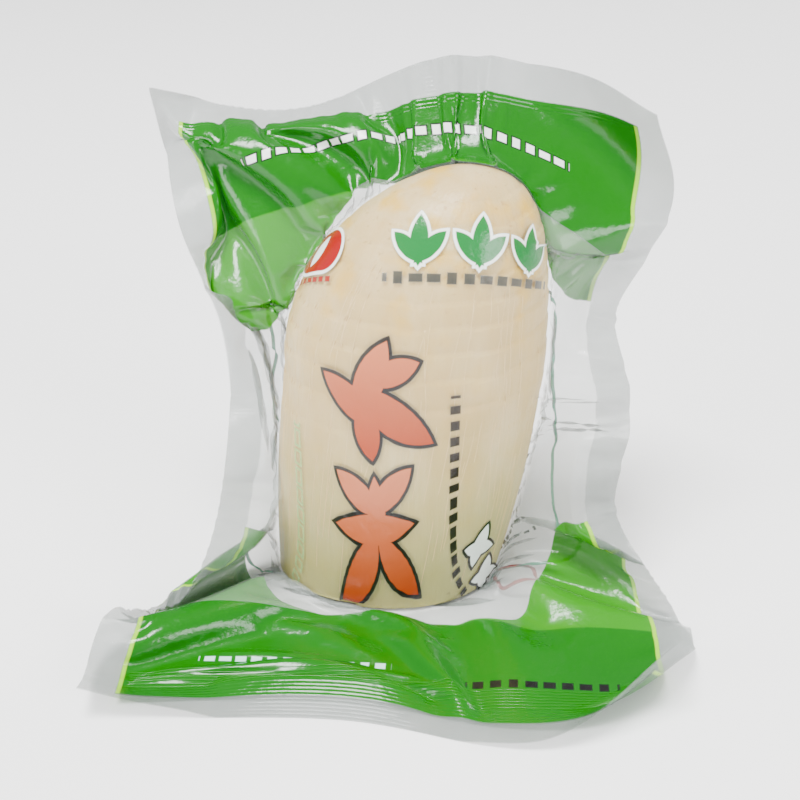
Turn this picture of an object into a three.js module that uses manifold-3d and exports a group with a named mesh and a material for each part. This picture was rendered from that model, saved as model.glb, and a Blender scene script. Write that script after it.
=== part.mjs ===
// Vacuum-packed bamboo shoot: a peeled, cooked winter shoot in a flat plastic pouch that has been
// pumped empty. The pack stands on the shoot's cut base. The pouch's lower end lies forward on the
// table, and its upper end stands up behind the dome. Millimetres, +Z up, the front faces -Y.
import * as THREE from 'three';
import { mergeVertices } from 'three/addons/utils/BufferGeometryUtils.js';
import Module from 'manifold-3d';

// The shoot
const SHOOT_WIDTH = 85;
const SHOOT_DEPTH = 67;
const SHOOT_HEIGHT = 144;
const BASE_SHARE = 0.9;        // the cut base's width, as a share of the greatest width
const WAIST_SHARE = 0.4;       // the height, as a share, where the full width is reached
const DOME_SHARE = 0.55;       // the height, as a share, where the dome starts
const DOME_POWER = 2.1;        // how full the dome is: 2 is an ellipse
const LEAN = 9;                // how far the axis has moved to +X at the top of the barrel
const NOD = 16;                // how far the dome's tip leans further to +X

// The pouch
const FILM = 0.8;              // the stand-in's wall: the film itself is much thinner
const GAP = 0.3;               // clearance between neighbours
const FLAP_LENGTH = 48;        // from the fold to the pouch's lower edge
const FOLD_Y = -36;            // where the pouch leaves the table and rises
const FOLD_RADIUS = 6;
const TOP_Y = 40;              // the pouch's upper edge
const TOP_Z = 167;

// Levels above the table: the back film, the front film on it, and the shoot's cut base
const MID_LEVEL = FILM + GAP / 2;
const SHOOT_LEVEL = FILM + GAP;

// Half widths of the pouch at shares of its length, from the lower edge to the upper edge
const LEFT_EDGE = [[0, 92], [0.2, 88], [0.27, 64], [0.45, 53], [0.62, 55], [0.8, 67], [1, 77]];
const RIGHT_EDGE = [[0, 86], [0.12, 97], [0.22, 99], [0.36, 74], [0.5, 80], [0.64, 76], [0.78, 91],
  [1, 74]];
const LOWER_BULGE = 11;        // how far the lower edge bows forward, right of the middle
const BULGE_X = 42;
const BULGE_REACH = 34;
const UPPER_DROP = 14;         // how far the upper corners hang below the upper edge's middle

const wasm = await Module();
wasm.setup();

/** A closed geometry as a solid for joining and cutting. */
function solid(geometry) {
  const bare = geometry.clone();
  bare.deleteAttribute('normal');
  bare.deleteAttribute('uv');
  const merged = mergeVertices(bare, 1e-4);
  return new wasm.Manifold(new wasm.Mesh({
    numProp: 3,
    vertProperties: new Float32Array(merged.attributes.position.array),
    triVerts: new Uint32Array(merged.index.array),
  }));
}

/** A solid as a named mesh with its own material. */
function mesh(name, body, material) {
  const { vertProperties, triVerts } = body.getMesh();
  const geometry = new THREE.BufferGeometry();
  geometry.setAttribute('position', new THREE.BufferAttribute(new Float32Array(vertProperties), 3));
  geometry.setIndex(new THREE.BufferAttribute(new Uint32Array(triVerts), 1));
  geometry.computeVertexNormals();
  const result = new THREE.Mesh(geometry, new THREE.MeshStandardMaterial(material));
  result.name = name;
  return result;
}

/** The shoot's radius at a share of its height, as a share of its greatest radius. */
function profile(t) {
  const flare = BASE_SHARE + (1 - BASE_SHARE) * Math.sin(Math.min(t / WAIST_SHARE, 1) * Math.PI / 2);
  const up = Math.max(t - DOME_SHARE, 0) / (1 - DOME_SHARE);
  return flare * Math.max(1 - up ** DOME_POWER, 0) ** (1 / DOME_POWER);
}

/** How far the shoot's axis has moved to +X at a share of its height. */
function axisShift(t) {
  return LEAN * Math.min(t / DOME_SHARE, 1) + NOD * (Math.max(t - DOME_SHARE, 0) / (1 - DOME_SHARE)) ** 2;
}

/** The shoot's shape, grown outwards on every side by `grow`. */
function shoot(grow, sides) {
  const rings = 22;
  const outline = [new THREE.Vector2(0, 0)];
  for (let i = 0; i <= rings; i++) {
    const t = Math.sin((i / rings) * Math.PI / 2);
    outline.push(new THREE.Vector2(i === rings ? 0 : profile(t), t));
  }
  const geometry = new THREE.LatheGeometry(outline, sides);
  const place = geometry.attributes.position;
  for (let i = 0; i < place.count; i++) {
    const t = place.getY(i);
    place.setXYZ(i,
      axisShift(t) + place.getX(i) * (SHOOT_WIDTH / 2 + grow),
      -place.getZ(i) * (SHOOT_DEPTH / 2 + grow),
      SHOOT_LEVEL - grow + t * (SHOOT_HEIGHT + 2 * grow));
  }
  return solid(geometry);
}

// The pouch's middle surface, seen from the side as (y, z): flat on the table, then a fold, then
// a straight rise to the upper edge.
const rise = Math.atan2(TOP_Z - MID_LEVEL, TOP_Y - FOLD_Y);
const tangent = FOLD_RADIUS * Math.tan(rise / 2);
const middle = new THREE.Path();
middle.moveTo(FOLD_Y - FLAP_LENGTH, MID_LEVEL);
middle.lineTo(FOLD_Y - tangent, MID_LEVEL);
middle.absarc(FOLD_Y - tangent, MID_LEVEL + FOLD_RADIUS, FOLD_RADIUS, -Math.PI / 2, rise - Math.PI / 2);
middle.lineTo(TOP_Y, TOP_Z);
const LENGTH = middle.getLength();

/** The middle surface's point at a distance along it, moved towards the front by `offset`. */
function along(distance, offset) {
  const share = distance / LENGTH;
  const point = middle.getPointAt(Math.min(Math.max(share, 0), 1));
  const way = middle.getTangentAt(Math.min(Math.max(share, 0), 1));
  const past = distance - LENGTH * Math.min(Math.max(share, 0), 1);
  return new THREE.Vector2(point.x + way.x * past - way.y * offset, point.y + way.y * past + way.x * offset);
}

const leftEdge = new THREE.SplineCurve(LEFT_EDGE.map(([v, x]) => new THREE.Vector2(v, -x)));
const rightEdge = new THREE.SplineCurve(RIGHT_EDGE.map(([v, x]) => new THREE.Vector2(v, x)));

/** The x of an edge curve at a share of the pouch's length. */
function edgeAt(curve, v) {
  let low = 0;
  let high = 1;
  for (let i = 0; i < 30; i++) {
    const mid = (low + high) / 2;
    if (curve.getPoint(mid).x < v) low = mid; else high = mid;
  }
  return curve.getPoint((low + high) / 2).y;
}

/** A plate that follows the middle surface inside the pouch's outline, between two offsets. */
function plate(from, to) {
  const geometry = new THREE.BoxGeometry(1, 1, 1, 14, 46, 1);
  const place = geometry.attributes.position;
  for (let i = 0; i < place.count; i++) {
    const v = place.getY(i) + 0.5;
    const left = edgeAt(leftEdge, v);
    const right = edgeAt(rightEdge, v);
    const x = left + (right - left) * (place.getX(i) + 0.5);
    const start = -LOWER_BULGE * Math.exp(-(((x - BULGE_X) / BULGE_REACH) ** 2));
    const end = LENGTH - UPPER_DROP * (Math.abs(x) / 80) ** 3;
    const point = along(start + (end - start) * v, from + (to - from) * (place.getZ(i) + 0.5));
    place.setXYZ(i, x, point.x, point.y);
  }
  return solid(geometry);
}

/** Everything in front of the middle surface (side 1) or behind and under it (side -1). */
function half(side) {
  const reach = 200;
  const steps = 60;
  const outline = new THREE.Shape();
  const offset = (side * GAP) / 2;
  const first = along(-60, offset);
  outline.moveTo(first.x, first.y);
  for (let i = 0; i <= steps; i++) {
    const point = along((LENGTH * i) / steps, offset);
    outline.lineTo(point.x, point.y);
  }
  const last = along(LENGTH + 80, offset);
  outline.lineTo(last.x, last.y);
  if (side > 0) {
    outline.lineTo(FOLD_Y - FLAP_LENGTH - 60, last.y);
  } else {
    outline.lineTo(reach, last.y);
    outline.lineTo(reach, -reach);
    outline.lineTo(first.x, -reach);
  }
  const geometry = new THREE.ExtrudeGeometry(outline, { depth: 2 * reach, bevelEnabled: false });
  // The outline's (x, y) is the pouch's (y, z), and the extrusion runs along x.
  geometry.translate(0, 0, -reach);
  geometry.applyMatrix4(new THREE.Matrix4().makeBasis(
    new THREE.Vector3(0, 1, 0), new THREE.Vector3(0, 0, 1), new THREE.Vector3(1, 0, 0)));
  return solid(geometry);
}

const SIDES = 40;
const wrapping = shoot(GAP + FILM, SIDES);
const hollow = shoot(GAP, SIDES);

/** One film: its share of the wrapping round the shoot, and its plate beyond the shoot. */
function film(side) {
  const far = side * (GAP / 2 + FILM);
  return wrapping.add(plate(Math.min(0, far), Math.max(0, far)))
    .intersect(half(side))
    .subtract(hollow);
}

const shootMesh = mesh('bamboo_shoot', shoot(0, SIDES), { color: 0xe0cda4, roughness: 0.45, metalness: 0 });
const frontMesh = mesh('front_film', film(1), { color: 0xc8d8c6, roughness: 0.2, metalness: 0 });
const backMesh = mesh('back_film', film(-1), { color: 0x3f9a2c, roughness: 0.2, metalness: 0 });

// The origin is the middle of the whole pack's box, on the table.
const pack = new THREE.Group();
pack.add(shootMesh, frontMesh, backMesh);
const box = new THREE.Box3().setFromObject(pack, true);
for (const piece of pack.children) {
  piece.position.set(-(box.min.x + box.max.x) / 2, -(box.min.y + box.max.y) / 2, -box.min.z);
}
pack.updateMatrixWorld(true);

export default pack;
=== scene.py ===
"""A vacuum-packed bamboo shoot that stands on its cut base.

A peeled, boiled winter shoot is sealed in a flat pouch of clear film with green printed bands. The
pouch was pumped empty, so the film lies tight on the shoot and crinkles everywhere else. Its lower
end lies forward on the table and its upper end stands up behind the shoot's dome.

The film is simulated: two flat sheets start on the pouch's middle surface, the shoot swells between
them, and the sheets keep their flat size while the vacuum presses them together. Lengths are in
millimetres in "pack" coordinates: x and y from the middle of the shoot's cut base, z from the
table. They become metres in the CAD's frame when a mesh is made.
"""
import logging
import math
from dataclasses import dataclass, field
from enum import Enum

import bpy
import numpy as np
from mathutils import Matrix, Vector


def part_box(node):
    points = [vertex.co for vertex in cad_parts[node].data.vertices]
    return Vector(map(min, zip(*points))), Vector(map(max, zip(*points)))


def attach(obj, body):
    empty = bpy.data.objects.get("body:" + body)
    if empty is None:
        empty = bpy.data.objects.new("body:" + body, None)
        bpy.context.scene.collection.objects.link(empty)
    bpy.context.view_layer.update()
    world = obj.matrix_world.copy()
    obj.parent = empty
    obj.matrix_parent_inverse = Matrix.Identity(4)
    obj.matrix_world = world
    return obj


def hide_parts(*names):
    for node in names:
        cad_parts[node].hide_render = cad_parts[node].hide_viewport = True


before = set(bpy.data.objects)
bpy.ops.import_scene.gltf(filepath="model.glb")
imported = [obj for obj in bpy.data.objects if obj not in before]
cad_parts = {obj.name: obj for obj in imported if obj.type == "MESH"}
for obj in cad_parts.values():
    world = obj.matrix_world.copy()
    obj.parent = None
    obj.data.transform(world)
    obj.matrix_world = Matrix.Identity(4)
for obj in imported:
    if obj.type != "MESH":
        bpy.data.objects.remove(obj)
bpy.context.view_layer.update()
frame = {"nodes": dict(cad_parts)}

LOG = logging.getLogger("pack")
MM = 0.001
BODY = "root"


@dataclass(frozen=True)
class ShootForm:
    """The shoot's smooth form: a barrel on a cut base with a dome that nods to one side."""

    half_width: float
    half_depth: float
    height: float
    level: float
    base_share: float = 0.9
    waist_share: float = 0.4
    dome_share: float = 0.55
    dome_power: float = 2.1
    lean: float = 9.0
    nod: float = 16.0

    def flare(self, t: np.ndarray) -> np.ndarray:
        """Barrel radius at a share of the height.

        Args:
            t: Shares of the height, 0 at the base and 1 at the tip.

        Returns:
            Radii as shares of the greatest radius, without the dome.
        """
        rise = np.sin(np.clip(t / self.waist_share, 0, 1) * math.pi / 2)
        return self.base_share + (1 - self.base_share) * rise

    def flare_slope(self, t: np.ndarray) -> np.ndarray:
        """The slope of flare() at a share of the height."""
        inside = (t > 0) & (t < self.waist_share)
        turn = math.pi / 2 / self.waist_share
        return np.where(inside, (1 - self.base_share) * turn * np.cos(t * turn), 0.0)

    def dome(self, t: np.ndarray) -> np.ndarray:
        """How far into the dome a share of the height is, from 0 at its foot to 1 at the tip."""
        return np.maximum(t - self.dome_share, 0) / (1 - self.dome_share)

    def axis(self, t: np.ndarray) -> np.ndarray:
        """How far the axis has moved to +X at a share of the height."""
        return self.lean * np.minimum(t / self.dome_share, 1) + self.nod * self.dome(t) ** 2

    def axis_slope(self, t: np.ndarray) -> np.ndarray:
        """The slope of axis() at a share of the height."""
        barrel = np.where(t < self.dome_share, self.lean / self.dome_share, 0.0)
        return barrel + 2 * self.nod * self.dome(t) / (1 - self.dome_share)

    def radius(self, t: np.ndarray) -> np.ndarray:
        """Radius at a share of the height, as a share of the greatest radius."""
        return self.flare(t) * np.maximum(1 - self.dome(t) ** self.dome_power, 0) ** (1 / self.dome_power)

    def distance(self, points: np.ndarray) -> tuple[np.ndarray, np.ndarray]:
        """Roughly how far points are outside the shoot, and which way is out.

        Args:
            points: Places in pack coordinates, in the last axis of any array.

        Returns:
            Distances, below zero inside, and the gradient of the distance before it is scaled.
        """
        x, y, z = points[..., 0], points[..., 1], points[..., 2]
        t = (z - self.level) / self.height
        inside_t = np.clip(t, 0, 1)
        across = (x - self.axis(inside_t)) / self.half_width
        deep = y / self.half_depth
        ring = np.sqrt(across**2 + deep**2) + 1e-6
        flare = self.flare(inside_t)
        side = ring / flare
        up = self.dome(t)
        n = self.dome_power
        total = side**n + up**n
        value = total ** (1 / n)
        share_side = (side / value) ** (n - 1)
        share_up = (up / value) ** (n - 1)
        gradient = np.stack(
            [
                share_side * across / (ring * flare * self.half_width),
                share_side * deep / (ring * flare * self.half_depth),
                share_side
                * (
                    -across * self.axis_slope(inside_t) / self.half_width / (ring * flare)
                    - ring * self.flare_slope(inside_t) / flare**2
                )
                / self.height
                + share_up / ((1 - self.dome_share) * self.height),
            ],
            axis=-1,
        )
        return value - 1, gradient


@dataclass(frozen=True)
class PouchForm:
    """The pouch: its flat size, its seals, and the outline that its edge takes up.

    The middle surface is where the two films meet. It lies on the table from the lower edge to the
    fold, and then rises straight to the upper edge. A place on it is (x, s): s runs from the fold,
    below zero on the table and above zero on the rise.
    """

    width: float = 195.0
    length: float = 280.0
    seal: float = 11.0
    end_seal: float = 14.0
    fold_y: float = -36.0
    level: float = 0.95
    top_y: float = 40.0
    top_z: float = 167.0
    flap: float = 48.0
    fold_length: float = 16.0
    left: tuple = ((-92, -46), (-90, -14), (-63, 14), (-53, 50), (-54, 98), (-68, 135), (-76, 173))
    right: tuple = ((86, -43), (99, -8), (76, 34), (79, 70), (75, 102), (91, 136), (81, 161))
    lower: tuple = ((-92, -46), (-14, -46), (45, -60), (86, -43))
    upper: tuple = ((-76, 173), (-30, 168), (18, 182), (58, 177), (81, 161))
    middle_x: float = 4.0

    @property
    def rise(self) -> float:
        """The angle of the rise above the table, in radians."""
        return math.atan2(self.top_z - self.level, self.top_y - self.fold_y)

    @property
    def normal(self) -> np.ndarray:
        """The unit vector from the rise towards the front."""
        return np.array([0.0, -math.sin(self.rise), math.cos(self.rise)])

    @property
    def corner(self) -> np.ndarray:
        """The fold's middle point."""
        return np.array([0.0, self.fold_y, self.level])

    def place(self, x: np.ndarray, s: np.ndarray, offset: np.ndarray) -> np.ndarray:
        """Places on or beside the middle surface.

        Args:
            x: Places across the pouch.
            s: Places along the middle surface from the fold.
            offset: How far in front of the surface.

        Returns:
            Points in pack coordinates, in the last axis.
        """
        flat = np.minimum(s, 0)
        up = np.maximum(s, 0)
        facing = self.facing(s)
        base = np.stack(
            [x, self.fold_y + flat + up * math.cos(self.rise), self.level + up * math.sin(self.rise)],
            axis=-1,
        )
        return base + facing * np.asarray(offset)[..., None]

    def facing(self, s: np.ndarray) -> np.ndarray:
        """The middle surface's front direction at s, turned smoothly through the fold."""
        turn = self.rise * np.clip(0.5 + s / self.fold_length, 0, 1)
        return np.stack([np.zeros_like(turn), -np.sin(turn), np.cos(turn)], axis=-1)


def even_spacing(points: tuple, count: int) -> np.ndarray:
    """Points at even distances along a smooth curve through an outline's points.

    Args:
        points: The outline's own points as (x, s).
        count: How many points to give back.

    Returns:
        An array of count rows.
    """
    knots = np.array(points, float)
    knots = np.concatenate([[2 * knots[0] - knots[1]], knots, [2 * knots[-1] - knots[-2]]])
    before, start, end, after = (knots[k : len(knots) - 3 + k, None] for k in range(4))
    t = np.linspace(0, 1, 24, endpoint=False)[None, :, None]
    curve = 0.5 * (
        2 * start + (end - before) * t + (2 * before - 5 * start + 4 * end - after) * t**2
        + (3 * start - before - 3 * end + after) * t**3
    )
    rough = np.concatenate([curve.reshape(-1, 2), knots[-2:-1]])
    run = np.concatenate([[0], np.cumsum(np.linalg.norm(np.diff(rough, axis=0), axis=1))])
    wanted = np.linspace(0, run[-1], count)
    return np.stack([np.interp(wanted, run, rough[:, k]) for k in range(2)], axis=1)


def refined(grid: np.ndarray) -> np.ndarray:
    """A grid of points with a new one between each two, on both of its middle axes."""
    for axis in (1, 2):
        grid = np.swapaxes(grid, 0, axis)
        finer = np.empty((2 * grid.shape[0] - 1, *grid.shape[1:]))
        finer[0::2] = grid
        middle = 0.5 * (grid[:-1] + grid[1:])
        bulge = np.zeros_like(middle)
        bulge[1:-1] = (middle[1:-1] - 0.5 * (grid[:-3] + grid[3:])) / 8
        finer[1::2] = middle + bulge
        grid = np.swapaxes(finer, 0, axis)
    return grid


@dataclass
class FilmPair:
    """The two films as grids of points that keep their flat size.

    The first axis of the grid is the film: 0 is the front one, and 1 the back one. The next axes run
    along the pouch from its lower edge, and across it from its left edge.
    """

    shoot: ShootForm
    pouch: PouchForm
    cells_across: int = 39
    cells_along: int = 56
    gap: float = 0.3
    start_gap: float = 3.2
    clearance: float = 0.35
    table_clearance: float = 0.1
    seed: int = 7
    grid: np.ndarray = field(init=False)
    last: np.ndarray = field(init=False)
    flat: tuple = field(init=False)
    step_u: float = field(init=False)
    step_v: float = field(init=False)
    sealed: np.ndarray = field(init=False)
    flat_rim: np.ndarray = field(init=False)
    aim: np.ndarray = field(init=False)

    def __post_init__(self) -> None:
        """Lays both films on the middle surface, still flat."""
        self._measure()
        u, v = self.flat
        rng = np.random.default_rng(self.seed)
        rows, cols = u.shape
        wave = rng.normal(size=(rows, cols))
        for _ in range(3):
            wave = 0.5 * wave + 0.125 * (
                np.roll(wave, 1, 0) + np.roll(wave, -1, 0) + np.roll(wave, 1, 1) + np.roll(wave, -1, 1)
            )
        x = u - self.pouch.width / 2 + self.pouch.middle_x
        s = v - self.pouch.flap
        front = self.pouch.place(x, s, self.start_gap / 2 + wave)
        back = self.pouch.place(x, s, -self.start_gap / 2 + wave)
        self.grid = np.stack([front, back])
        self.last = self.grid.copy()

    def _measure(self) -> None:
        """Works out the flat places, the seals and the outline's targets for the present grid."""
        rows, cols = self.cells_along + 1, self.cells_across + 1
        u = np.linspace(0, self.pouch.width, cols)[None, :].repeat(rows, 0)
        v = np.linspace(0, self.pouch.length, rows)[:, None].repeat(cols, 1)
        self.flat = (u, v)
        self.step_u = self.pouch.width / self.cells_across
        self.step_v = self.pouch.length / self.cells_along
        slack = 1e-6
        self.sealed = (
            (u <= self.pouch.seal + slack)
            | (u >= self.pouch.width - self.pouch.seal - slack)
            | (v <= self.pouch.end_seal + slack)
            | (v >= self.pouch.length - self.pouch.end_seal - slack)
        )
        across = u - self.pouch.width / 2 + self.pouch.middle_x
        self.flat_rim = np.stack([across, v - self.pouch.flap], axis=-1)
        aim = self.flat_rim.copy()
        aim[0] = even_spacing(self.pouch.lower, cols)
        aim[-1] = even_spacing(self.pouch.upper, cols)
        aim[:, 0] = even_spacing(self.pouch.left, rows)
        aim[:, -1] = even_spacing(self.pouch.right, rows)
        self.aim = aim

    def refine(self) -> None:
        """Halves the grid's step."""
        self.grid = refined(self.grid)
        self.last = self.grid.copy()
        self.cells_across *= 2
        self.cells_along *= 2
        self._measure()

    @staticmethod
    def _hold(a: np.ndarray, b: np.ndarray, rest: float, pull: float, push: float) -> None:
        """Moves pairs of points towards their rest distance, in place.

        Args:
            a: The first points, as a view of the grid.
            b: The second points, as a view of the grid.
            rest: The distance to keep.
            pull: How firmly a stretched pair is drawn together, from 0 to 1.
            push: How firmly a squeezed pair is held apart, from 0 to 1.
        """
        way = b - a
        size = np.sqrt(np.einsum("...k,...k->...", way, way)) + 1e-9
        off = size - rest
        part = 0.5 * off * np.where(off > 0, pull, push) / size
        way *= part[..., None]
        a += way
        b -= way

    def _stretch(self, push: float) -> None:
        """Keeps the flat lengths along both ways of the grid.

        Args:
            push: How firmly the film resists being squeezed, from 0 to 1.
        """
        g = self.grid
        for start in (0, 1):
            end = (g.shape[2] - start) // 2 * 2 + start
            self._hold(g[:, :, start:end:2], g[:, :, start + 1 : end : 2], self.step_u, 1.0, push)
            end = (g.shape[1] - start) // 2 * 2 + start
            self._hold(g[:, start:end:2], g[:, start + 1 : end : 2], self.step_v, 1.0, push)

    def _shear(self, firm: float) -> None:
        """Keeps the flat lengths along both diagonals.

        Args:
            firm: How firmly, from 0 to 1.
        """
        g = self.grid
        rest = math.hypot(self.step_u, self.step_v)
        for start in (0, 1):
            end = (g.shape[1] - start) // 2 * 2 + start
            low, high = g[:, start:end:2], g[:, start + 1 : end : 2]
            self._hold(low[:, :, :-1], high[:, :, 1:], rest, firm, firm)
            self._hold(low[:, :, 1:], high[:, :, :-1], rest, firm, firm)

    def _bend(self, firm: float, sealed_firm: float) -> None:
        """Draws each point towards the middle of its neighbours on each line of the grid.

        Args:
            firm: How firmly in the open film, from 0 to 1.
            sealed_firm: How firmly in the seals, from 0 to 1.
        """
        g = self.grid
        share = np.where(self.sealed, sealed_firm, firm)[None, :, :, None]
        fix = np.zeros_like(g)
        lift = 0.5 * (g[:, :, :-2] + g[:, :, 2:]) - g[:, :, 1:-1]
        fix[:, :, 1:-1] += lift
        lift = 0.5 * (g[:, :-2] + g[:, 2:]) - g[:, 1:-1]
        fix[:, 1:-1] += lift
        g += fix * share

    def normals(self) -> np.ndarray:
        """The way that each point of the films faces.

        Returns:
            Unit normals, towards the front.
        """
        g = self.grid
        across = np.gradient(g, axis=2)
        along = np.gradient(g, axis=1)
        n = np.cross(across, along)
        return n / (np.linalg.norm(n, axis=-1, keepdims=True) + 1e-9)

    def _press(self, n: np.ndarray, amount: float) -> None:
        """The vacuum: moves each film towards the other one."""
        self.grid[0] -= amount * n[0]
        self.grid[1] += amount * n[1]

    def _weld(self, n: np.ndarray) -> None:
        """Joins the films in the seals and keeps them from passing through each other elsewhere.

        Args:
            n: The films' unit normals.
        """
        front, back = self.grid
        facing = n[0] + n[1]
        facing /= np.linalg.norm(facing, axis=-1, keepdims=True) + 1e-9
        apart = np.einsum("ijk,ijk->ij", front - back, facing)
        lack = np.maximum(self.gap - apart, 0)[..., None] * 0.5
        front += lack * facing
        back -= lack * facing
        middle = 0.5 * (front + back)
        sealed = self.sealed[..., None]
        front[:] = np.where(sealed, middle + 0.5 * self.gap * facing, front)
        back[:] = np.where(sealed, middle - 0.5 * self.gap * facing, back)

    def _touch(self, swell: float, clear: float) -> None:
        """Keeps the films out of the shoot, which is flattened towards the middle surface.

        Args:
            swell: The shoot's thickness as a share of the real one.
            clear: The clearance to keep.
        """
        g = self.grid
        normal = self.pouch.normal
        depth = (g - self.pouch.corner) @ normal
        seen = g + (depth * (1 / swell - 1))[..., None] * normal
        value, gradient = self.shoot.distance(seen)
        gradient = gradient + (gradient @ normal * (1 / swell - 1))[..., None] * normal
        size = np.linalg.norm(gradient, axis=-1) + 1e-9
        side = value / size
        down = np.array([0.0, 0.0, -1.0])
        below = down + (down @ normal) * (1 / swell - 1) * normal
        below_size = np.linalg.norm(below)
        base = (self.shoot.level - seen[..., 2]) / below_size
        under = base > side
        lack = np.maximum(clear - np.maximum(side, base), 0)
        way = np.where(under[..., None], below / below_size, gradient / size[..., None])
        g += lack[..., None] * way

    def _table(self) -> None:
        """Keeps the films above the table."""
        lowest = self.table_clearance
        self.grid[1, ..., 2] = np.maximum(self.grid[1, ..., 2], lowest)
        self.grid[0, ..., 2] = np.maximum(self.grid[0, ..., 2], lowest + self.gap)

    def _guide(self, progress: float, firm: float, loose: float) -> None:
        """Draws the pouch's edge towards its outline.

        Args:
            progress: 0 aims at the flat pouch, and 1 at the final outline.
            firm: How firmly along the middle surface, from 0 to 1.
            loose: How firmly square to the middle surface, from 0 to 1.
        """
        target = self.flat_rim + (self.aim - self.flat_rim) * progress
        edges = ((0, slice(None)), (-1, slice(None)), (slice(None), 0), (slice(None), -1))
        for edge in edges:
            x, s = target[edge][:, 0], target[edge][:, 1]
            goal = self.pouch.place(x, s, np.zeros_like(x))
            facing = self.pouch.facing(s)
            for film in self.grid:
                miss = goal - film[edge]
                square = np.einsum("ij,ij->i", miss, facing)[:, None] * facing
                film[edge] += firm * (miss - square) + loose * square

    def relax(self, steps: int, swell: tuple, progress: tuple, press: float, bend: tuple, push: float,
              guide: tuple, drift: float = 0.85) -> None:
        """Runs the simulation.

        Args:
            steps: How many steps.
            swell: The shoot's thickness share at the first and last step.
            progress: The outline's progress at the first and last step.
            press: How far the vacuum moves a film in one step, in millimetres.
            bend: The bending stiffness of the film and of the seals, from 0 to 1.
            push: How firmly the film resists being squeezed in its own plane.
            guide: How firmly the edge is guided along and square to the middle surface.
            drift: The share of each step's motion that carries on.
        """
        for step in range(steps):
            share = min(1.0, 1.25 * step / max(steps - 1, 1))
            moved = (self.grid - self.last) * drift
            limit = 0.4 * self.step_u
            self.last = self.grid.copy()
            self.grid += np.clip(moved, -limit, limit)
            n = self.normals()
            self._press(n, press)
            for _ in range(2):
                self._stretch(push)
                self._shear(0.35 * push)
            self._bend(*bend)
            self._guide(progress[0] + (progress[1] - progress[0]) * share, *guide)
            self._weld(n)
            self._touch(swell[0] + (swell[1] - swell[0]) * share, self.clearance)
            self._table()

    def touching(self, film: int) -> np.ndarray:
        """How closely a film lies on the shoot.

        Args:
            film: 0 for the front film and 1 for the back one.

        Returns:
            1 where it touches, down to 0 where it is more than about a millimetre off.
        """
        value, gradient = self.shoot.distance(self.grid[film])
        base = self.shoot.level - self.grid[film, ..., 2]
        off = np.maximum(value / (np.linalg.norm(gradient, axis=-1) + 1e-9), base)
        return np.clip((1.5 - off) / 0.8, 0, 1)

    def settle(self, quick: bool) -> None:
        """Runs the whole simulation, from the flat sheets to the finished pouch.

        Args:
            quick: Stops at a coarser grid.
        """
        self.relax(320, (0.03, 1.0), (0.0, 1.0), 0.10, (0.14, 0.4), 0.6, (0.25, 0.015))
        self.relax(200, (1.0, 1.0), (1.0, 1.0), 0.10, (0.08, 0.25), 0.8, (0.25, 0.015))
        self.refine()
        self.relax(160, (1.0, 1.0), (1.0, 1.0), 0.05, (0.05, 0.15), 0.8, (0.2, 0.005), 0.8)
        if quick:
            return
        self.refine()
        self.relax(120, (1.0, 1.0), (1.0, 1.0), 0.02, (0.05, 0.2), 0.8, (0.2, 0.0), 0.75)


Socket = bpy.types.NodeSocket


@dataclass
class Wire:
    """A number that runs between shader nodes, so that a formula in the script builds its nodes."""

    tree: bpy.types.NodeTree
    source: Socket | float

    def _join(self, kind: str, *others: "Wire | float", clamp: bool = False) -> "Wire":
        """A math node on this wire and others.

        Args:
            kind: The node's operation.
            others: The other inputs, as wires or numbers.
            clamp: Keeps the result from 0 to 1.

        Returns:
            The node's output.
        """
        node = self.tree.nodes.new("ShaderNodeMath")
        node.operation = kind
        node.use_clamp = clamp
        for place, value in enumerate((self, *others)):
            value = value.source if isinstance(value, Wire) else value
            if isinstance(value, (int, float)):
                node.inputs[place].default_value = value
            else:
                self.tree.links.new(value, node.inputs[place])
        return Wire(self.tree, node.outputs[0])

    def __add__(self, other: "Wire | float") -> "Wire":
        """The sum."""
        return self._join("ADD", other)

    def __sub__(self, other: "Wire | float") -> "Wire":
        """The difference."""
        return self._join("SUBTRACT", other)

    def __mul__(self, other: "Wire | float") -> "Wire":
        """The product."""
        return self._join("MULTIPLY", other)

    def __truediv__(self, other: "Wire | float") -> "Wire":
        """The quotient."""
        return self._join("DIVIDE", other)

    def __neg__(self) -> "Wire":
        """The number with its sign turned."""
        return self._join("MULTIPLY", -1.0)

    def power(self, other: float) -> "Wire":
        """The number raised to a power."""
        return self._join("POWER", other)

    def size(self) -> "Wire":
        """The number without its sign."""
        return self._join("ABSOLUTE")

    def least(self, other: "Wire | float") -> "Wire":
        """The smaller of two."""
        return self._join("MINIMUM", other)

    def most(self, other: "Wire | float") -> "Wire":
        """The greater of two."""
        return self._join("MAXIMUM", other)

    def root(self) -> "Wire":
        """The square root."""
        return self._join("SQRT")

    def floor(self) -> "Wire":
        """The whole number below."""
        return self._join("FLOOR")

    def sine(self) -> "Wire":
        """The sine."""
        return self._join("SINE")

    def kept(self, gain: float) -> "Wire":
        """The number times a gain, kept from 0 to 1."""
        return self._join("MULTIPLY", gain, clamp=True)

    def above(self, start: float, gain: float) -> "Wire":
        """How far the number is above a start, times a gain, kept from 0 to 1."""
        return (self - start).kept(gain)

    def ramp(self, start: float, reach: float) -> "Wire":
        """A smooth step from 0 at the start to 1 at the end of the reach."""
        t = ((self - start) / reach).kept(1.0)
        return t * t * (t * -2.0 + 3.0)

    def below(self, edge: "Wire | float", soft: float) -> "Wire":
        """1 where the number is below an edge and 0 above it, with a soft step between.

        Args:
            edge: The edge's value.
            soft: The width of the step.

        Returns:
            The step.
        """
        off = edge - self if isinstance(edge, Wire) else self * -1.0 + edge
        return (off / soft)._join("ADD", 0.5, clamp=True)


class Spread(Enum):
    """What a noise is read on."""

    OBJECT = "Object"
    FLAT = "UV"


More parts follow.
